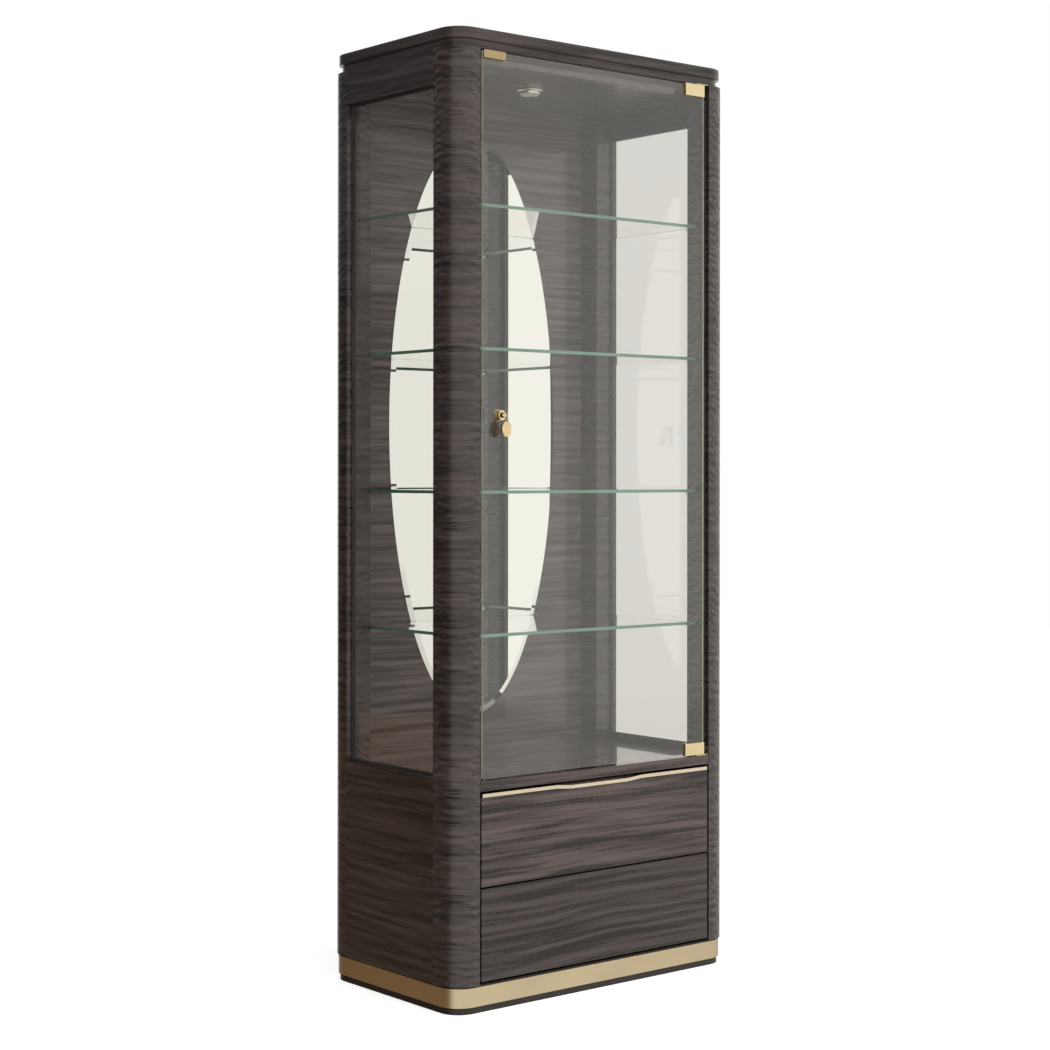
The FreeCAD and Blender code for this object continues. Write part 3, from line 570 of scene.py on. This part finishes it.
def fob():
    """The oval fob with its reeds, and the eyelet over it that the key ring passes through."""
    low, high = (Vector(corner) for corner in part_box("key_fob"))
    half_width = (high.x - low.x) / 2
    half_height = half_width * 4 / 3
    centre = Vector(((low.x + high.x) / 2, (low.y + high.y) / 2, low.z + half_height))
    eye_drop = 2.5 * MM
    shape = bmesh.new()
    medallion(shape, centre, half_width, half_height, low.y)
    reeds(shape, centre, half_height, low.y)
    eyelet(shape, Vector((centre.x, centre.y, high.z - eye_drop)))
    piece("fob_medallion", shape, 40, "fob", "fob", "key_fob")


puck_light()
fob()


# --- studio ----------------------------------------------------------------------------------

def surroundings():
    """White to the camera. What the object mirrors is white in front, grey behind at the right, and
    behind at the left a dark room with a brown floor. Seen through both sides of the case, that room
    is grey as well."""
    s = Shader(bpy.data.worlds.new("studio"), "ShaderNodeOutputWorld")
    x, y, z = s.split(s.add("ShaderNodeTexCoord").outputs["Generated"])

    # In each ramp 0 is thirty degrees below level, 0.5 is level and 1 is thirty degrees above.
    height = s.plus(z, 0.5)
    brown_floor = (0.25, 0.165, 0.095)
    floor_to_wall, wall_to_ceiling = 0.384, 0.586
    room = s.ramp(height, (0.0, (0.11, 0.10, 0.10)), (0.15, brown_floor),
                  (floor_to_wall, brown_floor), (floor_to_wall + 0.004, (0.052, 0.043, 0.040)),
                  (wall_to_ceiling, (0.060, 0.050, 0.046)), (wall_to_ceiling + 0.005, (0.20, 0.193, 0.19)),
                  (1.0, (0.3, 0.3, 0.3)))
    grey = s.ramp(height, (0.3, (0.70, 0.675, 0.63)), (0.45, (0.74, 0.725, 0.695)))
    front = s.ramp(height, (0.2, (0.85, 0.82, 0.75)), (0.385, (0.94, 0.92, 0.87)),
                   (0.395, (1.04, 1.03, 0.98)))

    # The front begins further forward at the left than at the right.
    behind = s.mix(s.remap(x, -0.2, 0.25, smooth=True), room, grey)
    begins_left = s.remap(y, -0.02, -0.46, smooth=True)
    begins_right = s.remap(y, 0.16, -0.2, smooth=True)
    in_front = s.mix_numbers(s.remap(x, -0.3, 0.3, smooth=True), begins_left, begins_right)

    white = (1, 1, 1)
    path = s.add("ShaderNodeLightPath").outputs
    through_two_panes = s.math("GREATER_THAN", path["Transmission Depth"], 3)
    mirrored = s.mix(in_front, behind, front)
    seen_through = s.mix(in_front, grey, front)
    around = s.mix(through_two_panes, mirrored, seen_through)
    background = s.add("ShaderNodeBackground")
    s.link(s.mix(path["Is Camera Ray"], around, white), background.inputs["Color"])
    bpy.context.scene.world = s.finish(background.outputs[0])


def pale_floor():
    """A pale floor that only the camera meets: everything else sees the surroundings' own floor."""
    reach = 9
    mesh = bpy.data.meshes.new("floor")
    mesh.from_pydata([(-reach, -reach, 0), (reach, -reach, 0), (reach, reach, 0), (-reach, reach, 0)],
                     [], [(0, 1, 2, 3)])
    s = new_material("pale_floor")
    diffuse = s.add("ShaderNodeBsdfDiffuse")
    s.feed_colour(diffuse.inputs[0], (0.82, 0.82, 0.82))
    glow = s.add("ShaderNodeEmission")
    glow.inputs["Strength"].default_value = 0.62
    total = s.add("ShaderNodeAddShader")
    s.link(diffuse.outputs[0], total.inputs[0])
    s.link(glow.outputs[0], total.inputs[1])
    mesh.materials.append(s.finish(total.outputs[0]))
    floor = bpy.data.objects.new("floor", mesh)
    bpy.context.scene.collection.objects.link(floor)
    for kind in ("glossy", "diffuse", "transmission", "shadow"):
        setattr(floor, "visible_" + kind, False)


def key_light():
    """A large soft light in front and above, which no polished surface mirrors."""
    lamp = bpy.data.lights.new("key_light", "AREA")
    lamp.shape = "RECTANGLE"
    lamp.size = 2.0
    lamp.size_y = 2.6
    lamp.energy = 60
    light = bpy.data.objects.new("key_light", lamp)
    bpy.context.scene.collection.objects.link(light)
    light.visible_glossy = False
    light.location = (-0.5, -4.4, 2.3)
    middle_of_case = Vector((0.0, 0.0, 1.0))
    light.rotation_euler = (middle_of_case - light.location).to_track_quat("-Z", "Y").to_euler()


def camera():
    """The camera stands left of the front, level, and looks a little to the right of the back."""
    place = Vector((-2.86395, -3.44513, 1.06885))
    heading, pitch, roll = 0.69012, 0.00066, 0.00071
    data = bpy.data.cameras.new("camera")
    data.sensor_width = 36
    data.lens = 71.283
    data.shift_y = -0.05087
    data.clip_end = 100
    thing = bpy.data.objects.new("camera", data)
    bpy.context.scene.collection.objects.link(thing)
    forward = Vector((math.sin(heading) * math.cos(pitch), math.cos(heading) * math.cos(pitch),
                      math.sin(pitch)))
    level_right = Vector((math.cos(heading), -math.sin(heading), 0))
    level_up = level_right.cross(forward)
    right = level_right * math.cos(roll) + level_up * math.sin(roll)
    up = level_up * math.cos(roll) - level_right * math.sin(roll)
    turn = Matrix((right, up, -forward)).transposed().to_4x4()
    thing.matrix_world = Matrix.Translation(place) @ turn
    bpy.context.scene.camera = thing
    bpy.context.scene.view_settings.view_transform = "Standard"


surroundings()
pale_floor()
key_light()
camera()
